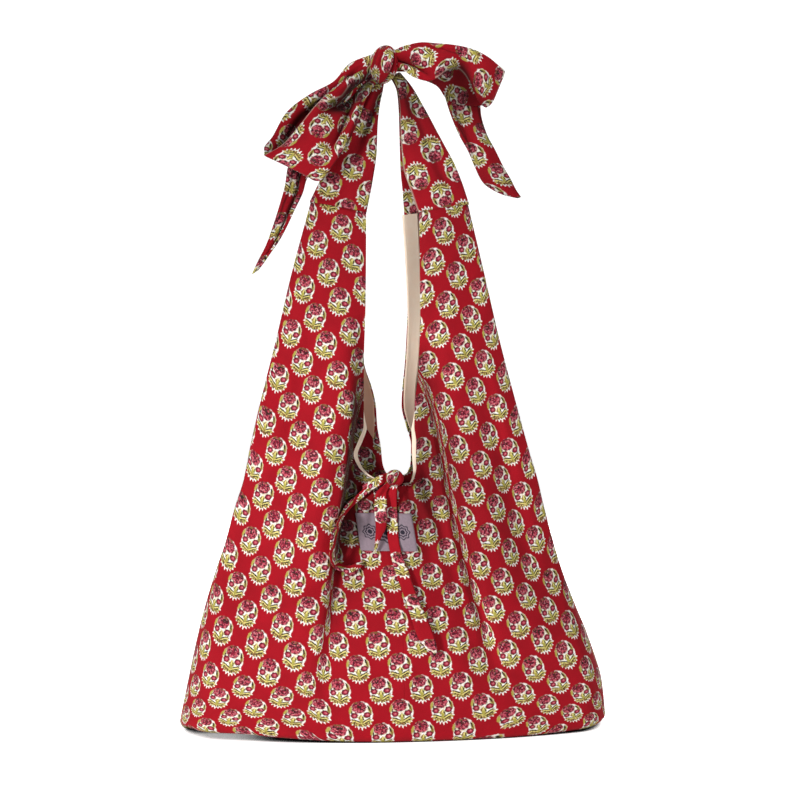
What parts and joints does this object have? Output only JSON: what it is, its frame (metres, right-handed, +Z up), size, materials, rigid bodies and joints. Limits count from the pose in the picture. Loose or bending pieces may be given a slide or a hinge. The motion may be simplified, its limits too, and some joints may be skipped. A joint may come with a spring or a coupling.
{
  "type": "shoulder tote bag",
  "caption": "Soft cotton shoulder tote with a floral print, a flat oval base, a narrow open mouth with a ribbon tie, and long arms knotted in a bow.",
  "frame": {"origin": "on the surface, under the middle of the base", "axes": "+X to the wearer's right as seen from the front, +Y to the back, +Z up towards the bow; the front with the label faces -Y"},
  "size_m": [0.3997, 0.1609, 0.6393],
  "materials": {
    "printed_cotton": "matt printed cotton, red ground with a small flower repeat",
    "facing_cotton": "matt plain beige cotton twill",
    "label_cloth": "smooth woven label, grey lavender"
  },
  "bodies": {
    "root": {"front_panel": "printed_cotton", "back_panel": "printed_cotton", "strap_left": "printed_cotton", "strap_right": "printed_cotton", "bow_knot": "printed_cotton", "bow_loop_left": "printed_cotton", "bow_loop_right": "printed_cotton", "bow_tail_left": "printed_cotton", "bow_tail_right": "printed_cotton", "tie_knot": "printed_cotton", "tie_band": "printed_cotton", "tie_end_left": "printed_cotton", "tie_end_short": "printed_cotton", "tie_end_long": "printed_cotton", "facing_front_left": "facing_cotton", "facing_front_right": "facing_cotton", "facing_back_left": "facing_cotton", "facing_back_right": "facing_cotton", "label": "label_cloth"}
  },
  "joints": []
}
